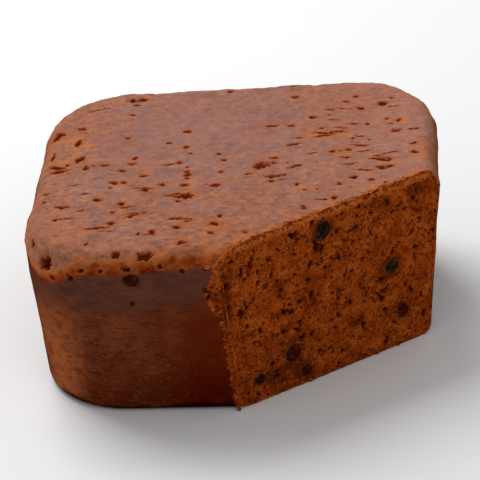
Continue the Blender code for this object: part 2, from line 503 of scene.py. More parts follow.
def scattered_tears(draw, count):
    """Seeded tears: many and short at the front and right, few over the smooth middle."""
    found = []
    while len(found) < count:
        x = draw.uniform(-0.5, 0.5) * (CAKE_LENGTH - 2 * CROWN_MARGIN)
        y = draw.uniform(-0.5, 0.5) * (CAKE_DEPTH - 2 * CROWN_MARGIN)
        smooth = hill(x, y, -22, 34, 34, 30)
        if from_cut(x, y) > CUT_MARGIN and draw.random() > 0.93 * smooth:
            length = draw.lognormvariate(math.log(2.9 * MM), 0.35)
            width = min(0.9 * length, draw.uniform(1.5, 3.2) * MM)
            found.append(tear(x, y, length, width, draw.gauss(0, math.radians(14))))
    return found


def scattered_streaks(draw, count):
    """Seeded long shallow grooves at the front left and, twice as often, at the right."""
    found = []
    while len(found) < count:
        x = draw.choice((draw.gauss(-45, 22), draw.gauss(48, 18), draw.gauss(48, 18))) * MM
        y = (draw.gauss(-38, 20) if x < 0 else draw.gauss(12, 22)) * MM
        inside = max(abs(x) / CAKE_LENGTH, abs(y) / CAKE_DEPTH) < 0.45
        if inside and from_cut(x, y) > CUT_MARGIN:
            length, width = draw.uniform(3, 10) * MM, draw.uniform(0.9, 1.4) * MM
            groove = tear(x, y, length, width, draw.gauss(0, math.radians(9)))
            found.append(groove._replace(depth=STREAK_DEPTH, lens=True))
    return found


tears += scattered_tears(random.Random(11), 84)
tears += scattered_streaks(random.Random(31), 42)
print("tears in all", len(tears))

# %% [markdown]
# The frame says where fruit shows, at the cut and on the sides. Each fruit gets a seat: its
# middle on the surface, the way it faces, and its width and height there. The skin, or at the
# cut the crumb, is pressed in at each seat, and the raisins are set in later.


# %% Seats for the fruit
CUT_FRUIT_SHOWS, FRONT_FRUIT_SHOWS = 0.92, 0.86
FRONT_FRUIT_RISE = 2.2 * MM
SEAT_ROOM, SEAT_DEPTH = 1.08, 0.9 * MM


def seat_of(node):
    """The middle of a fruit on the surface, the way it faces, its width and its height."""
    low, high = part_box(node)
    middle, size = (low + high) / 2, high - low
    if "cut" in node:
        surface = middle + CUT_OUTWARD * from_cut(middle.x, middle.y)
        return surface, CUT_OUTWARD, CUT_FRUIT_SHOWS * math.hypot(size.x, size.y), size.z
    axis = 0 if abs(middle.x) / CAKE_LENGTH > abs(middle.y) / CAKE_DEPTH else 1
    outward = Vector((0, 0, 0))
    outward[axis] = math.copysign(1, middle[axis])
    surface = middle.copy()
    surface[axis] = high[axis] if middle[axis] > 0 else low[axis]
    if outward.y < 0:  # this one lies partly under the crease
        surface.z += FRONT_FRUIT_RISE
        size.x *= FRONT_FRUIT_SHOWS
    return surface, outward, size[1 - axis], size.z


seats = {node: seat_of(node) for node in sorted(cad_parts) if node.startswith("fruit")}
for surface, outward, width, height in seats.values():
    if outward is not CUT_OUTWARD:
        tears.append(dent(surface, -outward, SEAT_ROOM * width, SEAT_ROOM * height, SEAT_DEPTH))
print("seats", len(seats))

# %% [markdown]
# At the front the knife tore the skin off in crumbs. Small round bites beside the upright
# edge of the cut, more of them near the top, leave it ragged, and so do smaller ones along the
# top edge. They are pressed in after the cut, so that the knife meets a clean shape.

# %% Bites beside the cut
TORN_LEVEL, TORN_SPREAD = 51 * MM, 8 * MM
TOP_EDGE = (5, 94)  # where the top edge of the cut starts and ends, in mm along the cut


def torn_there(height):
    """How much of the skin the knife tore at a height: 1 at the worst, 0 far from there."""
    return np.exp(-((height - TORN_LEVEL) / TORN_SPREAD)**2)


def poke(centre, length, width, depth, turn):
    """A round stroke that is pressed straight back, its length turned up from level."""
    along = Vector((math.cos(turn), 0, math.sin(turn)))
    return Stroke(centre, along, BACK, length, width, depth)


draw = random.Random(23)
bites = []
for _ in range(46):
    height = (58 - abs(draw.gauss(0, 14))) * MM
    if height > 2 * MM:
        torn_away = 3.6 * MM * torn_there(height) + 0.6 * MM
        leaning = SIDE_TAPER * (1 - height / RIM_LEVEL)
        x = CUT_START.x + leaning / math.tan(CUT_ANGLE) - draw.uniform(0, 1) * torn_away
        y = -CAKE_DEPTH / 2 + leaning
        turn = draw.uniform(0, math.pi)
        width = draw.uniform(0.8, 2.2) * MM
        bites.append(poke(Vector((x, y, height)), width * 1.5, width, 0.55 * width, turn))
nibbles = []
for _ in range(70):
    place = CUT_START + CUT_ALONG * draw.uniform(*TOP_EDGE) * MM
    place -= CUT_OUTWARD * draw.uniform(0, 0.9) * MM
    place.z = top_level(place.x, place.y)
    width = draw.uniform(0.7, 1.9) * MM
    nibbles.append(Stroke(place, CUT_ALONG, DOWN, 1.4 * width, width, 0.4 * width))
print("bites", len(bites), "nibbles", len(nibbles))


# %% A finer skin on top, and finest around the tears
EDGE_MIDDLE = 0.5 * MM


def near(points, strokes, margin):
    """Which points lie on a stroke or within a margin of it."""
    close = np.zeros(len(points), dtype=bool)
    still = np.zeros_like(points)
    for stroke in strokes:
        wider = stroke._replace(length=stroke.length + 2 * margin, width=stroke.width + 2 * margin,
                                lens=False)
        close |= reach_of(points, wider, still) < 1
    return close


def subdivide(piece, chosen):
    """Splits the chosen faces once."""
    for layer in (piece.data.polygons, piece.data.edges, piece.data.vertices):
        layer.foreach_set("select", np.zeros(len(layer), dtype=bool))
    piece.data.polygons.foreach_set("select", chosen)
    edit(piece)
    bpy.ops.mesh.select_mode(type="FACE")
    bpy.ops.mesh.subdivide(number_cuts=1)
    put_down()


def behind_cut(points):
    """How far every point lies behind the cut."""
    return (np.array(CUT_START) - points) @ np.array(CUT_OUTWARD)


def at_edge(points, reach):
    """Which points lie close to the edge that the knife leaves."""
    return np.abs(behind_cut(points) - EDGE_MIDDLE) < reach


middles = faces_of(crust, "center")
on_top = middles[:, 2] > crease_level(middles) - 1.5 * MM
subdivide(crust, (on_top & (behind_cut(middles) > -2 * MM)) | at_edge(middles, 2.5 * MM))
middles = faces_of(crust, "center")
subdivide(crust, near(middles, tears + bites + nibbles, 0.5 * MM) | at_edge(middles, 2.0 * MM))
print("crust", len(crust.data.polygons), "faces before the cut")

# %% [markdown]
# Between the tears the skin is drawn into low flaky wrinkles, again lying left to right. Two
# Displace modifiers make them, reading clouds through a stretched empty so that the lumps
# come out long.


# %% Wrinkles
FLAKE_SIZE, FLAKE_DEPTH = 1.5 * MM, 0.55 * MM
PUFF_SIZE, PUFF_HEIGHT = 6 * MM, 0.9 * MM
where = points_of(crust)
smooth_middle = hill(where[:, 0], where[:, 1], -18, 30, 40, 34)
above = where[:, 2] - crease_level(where)
flaky = weigh(crust, "flaky", (0.15 + 0.85 * soft_step(above, -1 * MM, 3 * MM))
              * (1 - 0.75 * smooth_middle) * soft_step(where[:, 2], 0.5 * MM, 6 * MM))
long_lumps = add(bpy.ops.object.empty_add, "long_lumps", type="PLAIN_AXES")
long_lumps.scale = (3.2, 1, 1)
bpy.context.view_layer.update()
ruffle(crust, clouds("flakes", FLAKE_SIZE, "HARD_NOISE", 1), -FLAKE_DEPTH, 0.35, "OBJECT",
       texture_coords_object=long_lumps, vertex_group=flaky)
ruffle(crust, clouds("puffs", PUFF_SIZE), PUFF_HEIGHT, vertex_group=flaky)
bpy.data.objects.remove(long_lumps)
press(crust, tears)
print("crust", in_mm(crust.dimensions))

# %% [markdown]
# ## The cut
# A knife went in at the front and came out at the right side. Bisect cuts the skin there and
# fills the opening. The crumb is a piece of its own, so the skin is hollowed 3 mm deep
# behind the cut, out to 1 mm from its edge, and the crumb sits in that hollow.

# %% Cut the crust and hollow it
HOLLOW_DEPTH, SKIN_EDGE = 3 * MM, 1 * MM


def slice_off(piece, along_outward, keep_behind=True):
    """Cuts a piece parallel to the knife and fills the opening."""
    edit(piece)
    bpy.ops.mesh.select_all(action="SELECT")
    bpy.ops.mesh.bisect(
        plane_co=CUT_START + CUT_OUTWARD * along_outward, plane_no=CUT_OUTWARD,
        use_fill=True, clear_outer=keep_behind, clear_inner=not keep_behind,
    )
    put_down()


slice_off(crust, 0.0)
plug = duplicate(whole_cake, "plug")
modify(plug, "DISPLACE", strength=-SKIN_EDGE, mid_level=0)
slice_off(plug, -HOLLOW_DEPTH, keep_behind=False)
slice_off(plug, 2 * MM)
modify(crust, "BOOLEAN", operation="DIFFERENCE", object=plug, solver="EXACT")
bpy.data.objects.remove(plug)
press(crust, bites)
press(crust, nibbles, stain=0)
print("crust", len(crust.data.polygons), "faces after the cut")


# %% Flatten the base to one face
def flatten(piece, test, degrees):
    """Merges the faces that pass a test where they meet at less than an angle."""
    edit(piece)
    pick("faces", test)
    bpy.ops.mesh.dissolve_limited(angle_limit=math.radians(degrees))
    put_down()


flatten(crust, lambda face: face.normal.z < -0.99 and face.calc_center_median().z < 0.3 * MM, 3)
print("crust", len(crust.data.polygons), "faces,", triangles(crust), "triangles")

# %% [markdown]
# ## The crumb
# The crumb that the knife opened is a slab in the hollow. It is cut from the same whole cake,
# a little under its skin, turned to face straight forwards, and wrapped in squares of a third
# of a millimetre. Then it is worked like the skin: a few large holes where they are noticed,
# hundreds of seeded pores between them, and clouds for the grain that the knife tore up. It
# also keeps two numbers at its vertices: where juice stained it dark, and how close it lies
# under the top skin, where it is paler.

# %% A slab of crumb that faces forwards
CRUMB_CELL = 0.37 * MM
UNDER_SKIN, OVERLAP = 0.45 * MM, 0.3 * MM
TO_BENCH = Matrix.Rotation(-CUT_ANGLE, 4, "Z") @ Matrix.Translation(-CUT_START)
crumb = duplicate(whole_cake, "cake_crumb")
modify(crumb, "DISPLACE", strength=-UNDER_SKIN, mid_level=0)
slice_off(crumb, 0.0)
slice_off(crumb, -HOLLOW_DEPTH - OVERLAP, keep_behind=False)
crumb.matrix_world = TO_BENCH
settle(crumb)
modify(crumb, "REMESH", mode="VOXEL", voxel_size=CRUMB_CELL)
flatten(crumb, lambda face: face.normal.y > 0.95, 4)
crumb_size = crumb.dimensions.copy()
print("crumb", in_mm(crumb_size), len(crumb.data.polygons), "faces")

# %% Holes and pores
POCKET_ROOM, POCKET_DEPTH = 1.12, 1.3 * MM
DAMP = ((2, 48, 7, 20), (30, 8, 16, 10))  # distance along the cut, height, width and height in mm
HOLES = (  # distance along the cut, height, length, width and depth in mm, turn in degrees
    (16.4, 61, 6.4, 1.9, 2.2, 86), (4.7, 54, 4.6, 3, 2, 60), (1.6, 47, 3.6, 2.6, 1.6, 80),
    (42.1, 37, 6, 2.4, 2, 75), (27.7, 41.6, 3.4, 2.4, 1.8, 20), (22.3, 48.3, 3.6, 1.6, 1.3, 50),
    (41.9, 20.3, 4.2, 2.8, 1.8, 30), (48.9, 46.3, 3, 2.2, 1.5, 0), (24.4, 7.8, 4.4, 2.6, 1.7, 40),
    (92.5, 59.3, 3, 1.6, 1.2, 80), (16.3, 3.6, 4.6, 1.4, 1.6, 95), (35, 57, 3, 1.8, 1.2, -30),
    (2.6, 60, 3.4, 2.4, 1.5, 50), (47.8, 55, 4.4, 2.6, 1.6, 85), (47.4, 50, 5, 2, 1.8, 95),
    (30, 34, 3.6, 2.8, 1.8, 10), (13, 42, 3, 2.2, 1.6, 40), (58, 40, 4.6, 2.2, 1.6, 70),
)


def scattered_pores(draw, count):
    """Seeded pores, most of them small."""
    found = []
    for _ in range(count):
        width = min(draw.lognormvariate(math.log(0.95 * MM), 0.62), 3.2 * MM)
        length = width * draw.uniform(1.0, 2.4)
        place = Vector((draw.uniform(0, crumb_size.x), 0, draw.uniform(0, crumb_size.z)))
        depth = 0.3 * MM + 0.45 * width
        found.append(poke(place, length, width, depth, draw.uniform(0, math.pi)))
    return found


pores = [poke(Vector((x * MM, 0, z * MM)), length * MM, width * MM, depth * MM, math.radians(turn))
         for x, z, length, width, depth, turn in HOLES]
pores += scattered_pores(random.Random(5), 560)
damp = [tuple(value * MM for value in values) for values in DAMP]
for surface, outward, width, height in seats.values():
    if outward is CUT_OUTWARD:
        place = TO_BENCH @ surface
        place.y = 0
        pores.append(poke(place, POCKET_ROOM * width, POCKET_ROOM * height, POCKET_DEPTH, 0))
        damp.append((place.x, place.z, width, height))
print("pores", len(pores), "damp places", len(damp))

# %% Stain it, then press them in
points = points_of(crumb)
uneven = 0.5 * grain(points, 2.4 * MM, 8)
juice = np.zeros(len(points))
for x, z, width, height in damp:
    reach = np.hypot((points[:, 0] - x) * 2 / width, (points[:, 2] - z) * 2 / height)
    juice = np.maximum(juice, 1 - soft_step(reach + uneven, 0.9, 2.1))
share = 1 - soft_step(points[:, 1], 0.8 * MM, HOLLOW_DEPTH)
press(crumb, pores, warp_size=0.9 * MM, share=share)
store(crumb, "juice", juice)

# %% Torn grain
TEAR_SIZE, TEAR_DEPTH = 2.2 * MM, 0.9 * MM
GRAIN_SIZE, GRAIN_DEPTH = 0.8 * MM, 0.8 * MM
opened = weigh(crumb, "opened", share)
ruffle(crumb, clouds("torn", TEAR_SIZE, depth=1), TEAR_DEPTH, 0.4,
       direction="Y", vertex_group=opened)
ruffle(crumb, clouds("grain", GRAIN_SIZE, "HARD_NOISE", 1), GRAIN_DEPTH, 0.3,
       direction="Y", vertex_group=opened)

# %% How close it lies under the top skin
points = points_of(crumb)
column = np.rint(points[:, 0] / MM).astype(int)
column -= column.min()
highest = np.zeros(column.max() + 1)
np.maximum.at(highest, column, points[:, 2])
below_top = highest[column] - points[:, 2] + 0.9 * MM * grain(points, 2.4 * MM, 6)
store(crumb, "upper", 1 - soft_step(below_top, 0.6 * MM, 4.5 * MM))
crumb.matrix_world = TO_BENCH.inverted()
settle(crumb)
bpy.data.objects.remove(whole_cake)
print("crumb", triangles(crumb), "triangles")

# %% [markdown]
# ## Raisins
# Each fruit of the frame becomes a wrinkled raisin. A ball is shaped to the size of the seat,
# soft clouds fold it and hard clouds wrinkle its skin, and the side that faces out is
# flattened almost flush, as the knife or the wall of the tin left it.

# %% Set a raisin in every seat
FILLS_SEAT, THICKNESS, FLATTENED = 1.06, 0.72, 0.7
FOLD_DEPTH, WRINKLE_DEPTH = 0.45, 1.5 * MM
USUALLY_COVERED, SIDE_GREEN = 0.35, 0.35
COVERED = {  # how much crumb clings to a raisin
    "fruit_cut_1": 0.05, "fruit_cut_3": 0.25, "fruit_cut_4": 0.6, "fruit_cut_5": 0.7,
    "fruit_cut_6": 0.2, "fruit_cut_7": 0.55,
}
GREEN = {  # how olive a raisin is, from dark red brown at 0
    "fruit_cut_1": 1.0, "fruit_cut_2": 0.8, "fruit_cut_8": 1.0, "fruit_side_1": 0.4,
}
raisins = []
folds = clouds("folds", 4.5 * MM)
wrinkles = clouds("wrinkles", 1.5 * MM, "HARD_NOISE", 1)
for node, (surface, outward, width, height) in seats.items():
    raisin = add(bpy.ops.mesh.primitive_ico_sphere_add, node.replace("fruit", "raisin"),
                 subdivisions=5, radius=0.5)
    raisin.scale = (FILLS_SEAT * width, THICKNESS * min(width, height), FILLS_SEAT * height)
    raisin.rotation_euler.z = math.atan2(outward.x, -outward.y)
    raisin.location = surface - outward * 0.1 * MM
    settle(raisin)
    ruffle(raisin, folds, FOLD_DEPTH * min(width, height), coords="GLOBAL")
    ruffle(raisin, wrinkles, -WRINKLE_DEPTH, 0.3, "GLOBAL")
    points = points_of(raisin)
    proud = (points - np.array(surface)) @ np.array(outward) + 0.15 * MM
    points -= np.outer(FLATTENED * np.maximum(proud, 0), np.array(outward))
    set_points(raisin, points)
    from_middle = np.linalg.norm((points - np.array(surface)) / (width, width, height), axis=1)
    covered = COVERED.get(node, USUALLY_COVERED)
    at_rim = (0.9 - 0.5 * covered) * soft_step(from_middle, 0.34, 0.62)
    store(raisin, "dusted", (covered + at_rim) * (outward is CUT_OUTWARD))
    green = GREEN.get(node, 0 if "cut" in node else SIDE_GREEN)
    store(raisin, "green", np.full(len(points), green))
    store(raisin, "juice", np.ones(len(points)))
    raisins.append(raisin)
print("raisins", len(raisins))

# %% [markdown]
# ## Loose crumbs
# A knife leaves crumbs on the cut and along its edges. One lump is shaped from a small ball and
# copied, each copy with its own size and turn, and the copies are joined into one piece.


# %% Crumbs along the cut
def crumb_places(draw):
    """Distance along the cut, height and size in mm: front upright, foot, face and top edge."""
    for _ in range(16):
        yield draw.gauss(1.6, 1.4), draw.uniform(2, 55), draw.uniform(0.4, 1.2)
    for _ in range(34):
        yield draw.uniform(4, 96), abs(draw.gauss(0.6, 0.8)), draw.uniform(0.5, 1.9)
    for _ in range(40):
        yield draw.uniform(2, 96), draw.uniform(3, 62), draw.uniform(0.4, 1.1)
    for _ in range(60):
        along_cut = draw.uniform(*TOP_EDGE)
        place = CUT_START + CUT_ALONG * along_cut * MM
        yield along_cut, top_level(place.x, place.y) / MM - draw.uniform(0.3, 2.2), draw.uniform(0.5, 1.5)


lump = add(bpy.ops.mesh.primitive_ico_sphere_add, "lump", subdivisions=3, radius=1)
ruffle(lump, clouds("lump", 0.8, depth=1), 1.1)
draw = random.Random(8)
copies = []
for along_cut, height, size in crumb_places(draw):
    copy = duplicate(lump, "crumb_copy")
    inset = SIDE_TAPER * (1 - height * MM / RIM_LEVEL) / math.sin(CUT_ANGLE)
    place = CUT_START + CUT_ALONG * max(along_cut * MM, inset)
    copy.location = place + CUT_OUTWARD * 0.1 * MM + Vector((0, 0, (height + 0.35 * size) * MM))
    copy.scale = [size / 2 * MM * draw.uniform(0.8, 1.2) for _ in range(3)]
    copy.rotation_euler = [draw.uniform(0, 6.3) for _ in range(3)]
    copies.append(copy)
bpy.data.objects.remove(lump)
put_down()
for copy in copies:
    copy.select_set(True)
bpy.context.view_layer.objects.active = copies[0]
bpy.ops.object.join()
crumbs = bpy.context.object
crumbs.name = "loose_crumbs"
settle(crumbs)
print("loose crumbs", len(copies))

# %% [markdown]
# ## Shader sums
# A finish is a sum of noises and masks. Written as Python sums it reads like the recipe it is:
# one small class wraps an output socket, and a sum on it adds the Math node. A second class
# holds one material and adds all its nodes by one method.


# %% Sockets that do sums
class Flow:
    """An output socket of a finish; a sum on it adds a Math node."""

    def __init__(self, finish, socket):
        self.finish, self.socket = finish, socket

    def math(self, operation, *values):
        return self.finish.node("ShaderNodeMath", {"operation": operation}, dict(enumerate(values)))

    def __add__(self, other):
        return self.math("ADD", self, other)

    def __sub__(self, other):
        return self.math("SUBTRACT", self, other)

    def __rsub__(self, other):
        return self.math("SUBTRACT", other, self)

    def __mul__(self, other):
        return self.math("MULTIPLY", self, other)

    __radd__, __rmul__ = __add__, __mul__


# %% One material and its nodes
class Finish:
    """One material, built from the nodes that its methods add."""

    def __init__(self, name, **constants):
        self.material = bpy.data.materials.new(name)
        self.material.use_nodes = True
        self.tree = self.material.node_tree
        self.shader = self.tree.nodes["Principled BSDF"]
        self.set(**constants)
        self.here = self.node("ShaderNodeTexCoord", output="Object")

    def node(self, kind, settings=None, inputs=None, output=0):
        """Adds a node: its settings first, then the values or links of its sockets."""
        made = self.tree.nodes.new(kind)
        for name, value in (settings or {}).items():
            setattr(made, name, value)
        for name, value in (inputs or {}).items():
            self.feed(made.inputs[name], value)
        return Flow(self, made.outputs[output])

    def feed(self, socket, value):
        """Links a flow to a socket, or sets the socket's own value; a colour is (red, green, blue)."""
        if isinstance(value, Flow):
            self.tree.links.new(value.socket, socket)
        else:
            socket.default_value = (*value, 1) if socket.type == "RGBA" else value

    def set(self, **values):
        """Feeds the shader's own sockets."""
        for socket, value in values.items():
            self.feed(self.shader.inputs[socket.replace("_", " ")], value)

    def noise(self, size, detail, stretch=(1, 1, 1), roughness=0.5, shift=0.0):
        """Noise from 0 to 1 with lumps of the given size in mm, drawn out by stretch."""
        scale = [1 / (size * MM * pull) for pull in stretch]
        place = self.node("ShaderNodeMapping", {}, {
            "Vector": self.here, "Location": (shift, shift, shift), "Scale": scale})
        return self.node("ShaderNodeTexNoise", {}, {
            "Vector": place, "Scale": 1.0, "Detail": detail, "Roughness": roughness})

    def stored(self, name):
        """A number that the piece keeps at its vertices."""
        return self.node("ShaderNodeAttribute", {"attribute_name": name}, output="Fac")

    def height(self):
        """The height above the base, in metres."""
        return self.node("ShaderNodeSeparateXYZ", {}, {"Vector": self.here}, output="Z")

    def step(self, value, low, high):
        """0 below low, 1 above high, and a smooth rise between them."""
        return self.node("ShaderNodeMapRange", {"interpolation_type": "SMOOTHSTEP"}, {
            "Value": value, "From Min": low, "From Max": high})

    def mix(self, first, second, share):
        """The first colour, turned into the second by a share."""
        return self.node("ShaderNodeMix", {"data_type": "RGBA"}, {
            0: share, 6: first, 7: second}, output=2)

    def layers(self, colour, *layers):
        """A colour under layers, from the lowest up: each a colour and the share that it covers."""
        for above, share in layers:
            colour = self.mix(colour, above, share)
        return colour

    def bump(self, height, distance, strength):
        """A bump of the given height in metres, as the shader's normal."""
        self.set(Normal=self.node("ShaderNodeBump", {}, {
            "Height": height, "Distance": distance, "Strength": strength}, output="Normal"))


# %% Dressing a piece
def dress(piece, *materials):
    """Gives a piece its materials, in place of any that it has."""
    piece.data.materials.clear()
    for material in materials:
        piece.data.materials.append(material)


# %% [markdown]
# ## The finishes
# The skin on top is mauve brown and satin, with a painted lilac sheen over its smooth middle
# that stands for the reflection of the bright surroundings. It is more orange where it is thin,
# torn or close to the cut, and grey green where fruit lies right under it. The rim is orange at
# the front, where it spills lowest at the left corner, and browner behind; the lighter orange
# only at the front is partly painted light, lifting the rim that faces away from the lamp.
# Below the crease the skin is darker, partly its own tin-baked colour and partly painted shade
# of sides that face away from the lamp: a mauve band first, a painted reflection, then brown
# that darkens towards the foot and turns redder towards the cut, tan at the front left corner,
# partly painted window light, and a painted contact shadow along the foot. Where each zone lies
# is worked out here once and kept as a number at every vertex, so that the materials only have
# to read it.

# %% Patches of the crown
THIN = (  # x, y, length, width in mm and turn in degrees, where the skin is thin and orange
    (33, 20, 22, 9, -4), (36, 5, 20, 8, 0), (58, -8, 15, 6, 0), (64, 30, 13, 8, 0),
    (-66, 15, 44, 20, 78), (-42, 61, 18, 6, 3), (-26, 12, 12, 9, 0), (71, 4, 26, 9, 90),
    (-18, -22, 10, 12, 0), (-6, -52, 12, 8, 0), (-40, -44, 14, 6, 10),
)
BURIED = (  # the same, where fruit lies under the skin
    (-49, -57, 9, 5, 0), (-13, 61, 11, 6, 0), (-51, 2, 9, 5, 5), (-24, -4, 11, 6, 0),
)


def patches(points, places):
    """How far every point lies inside ragged patches, from 0 to 1."""
    warp = wobble(points, 4 * MM, (7, 8, 9))
    reaches = [reach_of(points, stroke, warp) for stroke in tears_at(places)]
    return 1 - soft_step(np.min(reaches, axis=0), 0.3, 1.2)


# %% Zones of the crust
CORNER_SPILL = 6 * MM
RIM_REACH = 8 * MM
BESIDE_CUT = 5 * MM
where = points_of(crust)
x, y = where[:, 0], where[:, 1]
above = where[:, 2] - crease_level(where)
behind = behind_cut(where)
ragged, ragged_fine = grain(where, 2.6 * MM, 4), grain(where, 0.9 * MM, 5)
at_corner = soft_step(-x, 54 * MM, 72 * MM) * soft_step(-y, 25 * MM, 55 * MM)
spilt = above + CORNER_SPILL * at_corner
beside_cut = 1 - soft_step(behind + 1.5 * MM * ragged, 0.5 * MM, BESIDE_CUT)
front = towards_front(where)
torn_away = 2.6 * MM * torn_there(where[:, 2])
torn_away *= soft_step(-y, 60 * MM, 68 * MM) * soft_step(-above, -1 * MM, 1 * MM)
torn_edge = 0.75 * MM + torn_away + 0.6 * MM * ragged + 0.5 * MM * ragged_fine
zones = {
    "crown": soft_step(spilt + 0.8 * MM * ragged, -1.2 * MM, 1.0 * MM),
    "rim": 1 - soft_step(spilt + 1.2 * MM * ragged, 0.3 * MM, RIM_REACH),
    # orange: 1 at the front, where the rim takes its lighter oranges, partly its own colour and partly
    # painted light lifting the rim that faces away from the lamp
    "orange": 0.15 + 0.85 * soft_step(-y, 5 * MM, 52 * MM),
    "pale": soft_step(x, 10 * MM, 70 * MM),
    # mauve: the smooth middle of the crown, which carries the painted lilac sheen and fewer grains
    "mauve": hill(x, y, -14, 26, 46, 44),
    "thin": np.maximum(patches(where, THIN), 0.8 * beside_cut),
    "buried": patches(where, BURIED),
    "below": np.clip(-above / RIM_LEVEL, 0, 1),
    "red": front * soft_step(x + 3 * MM * ragged, -38 * MM, -6 * MM),
    # tan: the front left corner, lightened partly as painted window light
    "tan": front * soft_step(-x + 2 * MM * ragged, 52 * MM, 73 * MM),
    "torn": 1 - soft_step(behind - torn_edge, -0.25 * MM, 0.25 * MM),
}
for name, values in zones.items():
    store(crust, name, values)
print("zones", *zones)

# %% [markdown]
# Open crumb is orange brown, with pale grains, dark gaps, and holes painted deep brown as shade. A
# picture of crumb would repeat and would smear round the edges, so a base colour is covered by
# thin layers instead, each with the share of the surface that it covers, read from noises of
# several sizes. Torn skin and dusty raisins show crumb too, so one function serves them all.


# %% Colours of the crumb
def crumb_colour(finish):
    """Orange brown crumb: pale grains, dark gaps between them, and painted shade, deep brown, in its
    holes.
    """
    lump = finish.noise(4.5, 4, shift=2.0)
    cluster = finish.noise(6.5, 3, shift=9.0)
    fine = finish.noise(0.9, 4, roughness=0.65, shift=5.0)
    speck = finish.noise(2.2, 2, roughness=0.4, shift=7.0)
    upper, juice, hollow = (finish.stored(name) for name in ("upper", "juice", "hollow"))
    step = finish.step
    colour = finish.layers(
        (0.225, 0.031, 0.003),
        ((0.385, 0.073, 0.0085), step(fine * 0.65 + lump * 0.35, 0.38, 0.62)),
        ((0.6, 0.16, 0.027), step(fine, 0.58, 0.7) * 0.85),
        ((0.51, 0.114, 0.014), step(1 - cluster, 0.52, 0.7) * 0.55),
        ((0.14, 0.015, 0.0013), step(cluster, 0.51, 0.68) * 0.5),
        ((0.07, 0.009, 0.001), step(speck, 0.58, 0.68) * 0.7),
        ((0.09, 0.013, 0.0014), juice * step(lump, 0.3, 0.6) * 0.85),
        ((0.64, 0.165, 0.03), upper * step(fine, 0.26, 0.56) * 0.85),
        ((0.06, 0.009, 0.0014), step(1 - fine, 0.54, 0.68) * (0.8 - 0.45 * upper)),
        # painted shade: deep brown in the pressed holes and in the pockets round the raisins
        ((0.035, 0.005, 0.001), step(hollow, 0.1, 0.8) * 0.92),
    )
    return colour, fine


# %% [markdown]
# Both skins are layered in the same way. Noises drawn out from left to right streak the crown,
# and flatter ones make the rows that the wall of the tin left on the sides. Over both lie the
# rims of the pits, their red brown insides with painted shade deep down and in the holes of the
# sides, and crumb where the knife tore the skin off.


# %% The skin on top
def crown_colour(skin, soft, blotch, patchy, mottle, streak, fleck):
    """Mauve brown, mottled and streaked, with a painted lilac sheen over the smooth middle, thin orange
    patches and an orange rim.
    """
    mauve, rim, orange = (skin.stored(zone) for zone in ("mauve", "rim", "orange"))
    rough = 1 - 0.45 * mauve
    grains = patchy * 0.6 + mottle * 0.4
    step = skin.step
    return skin.layers(
        (0.335, 0.128, 0.07),
        # painted sheen: lilac grey over the smooth middle and where soft noise is high, standing for the
        # reflection of the bright surroundings on the satin skin
        ((0.3, 0.142, 0.112), step(mauve * 0.8 + blotch * 0.9 + soft * 1.1, 0.95, 1.65)),
        ((0.45, 0.185, 0.105), step(mottle, 0.51, 0.66) * rough * 0.75),
        ((0.205, 0.086, 0.068), step(1 - mottle, 0.51, 0.66) * rough * 0.75),
        ((0.4, 0.15, 0.085), step(patchy, 0.5, 0.66) * 0.45),
        ((0.245, 0.12, 0.108), step(1 - patchy, 0.5, 0.66) * 0.5),
        ((0.42, 0.19, 0.115), step(streak, 0.54, 0.72) * (0.45 - 0.3 * mauve)),
        ((0.185, 0.056, 0.026), step(1 - streak, 0.56, 0.69) * (0.75 - 0.45 * mauve)),
        ((0.15, 0.052, 0.032), step(fleck, 0.57, 0.69) * rough * 0.5),
        ((0.5, 0.235, 0.16), step(1 - fleck, 0.58, 0.7) * rough * 0.35),
        ((0.44, 0.215, 0.165), skin.stored("pale") * 0.28),
        ((0.48, 0.145, 0.035),
         skin.stored("thin") * step(mottle * 0.5 + patchy * 0.5, 0.42, 0.57) * 0.8),
        ((0.19, 0.112, 0.082), skin.stored("buried") * 0.65),
        # the rim, first where it is brown and then where it is orange; the lighter orange only at the
        # front is partly painted light
        ((0.2, 0.078, 0.046), step(rim, 0.3, 0.95) * (1 - orange) * 0.8),
        ((0.47, 0.145, 0.05), step(rim, 0.05, 0.42) * step(blotch, 0.1, 0.45) * orange),
        ((0.34, 0.072, 0.015), step(rim, 0.4, 0.75) * orange),
        ((0.215, 0.029, 0.0035), step(rim, 0.7, 1.0) * orange),
        ((0.5, 0.15, 0.036), rim * step(grains, 0.5, 0.62) * (0.95 - 0.6 * rim) * orange),
        ((0.08, 0.011, 0.002), rim * step(1 - grains, 0.5, 0.6) * (0.35 + 0.55 * orange)),
    )


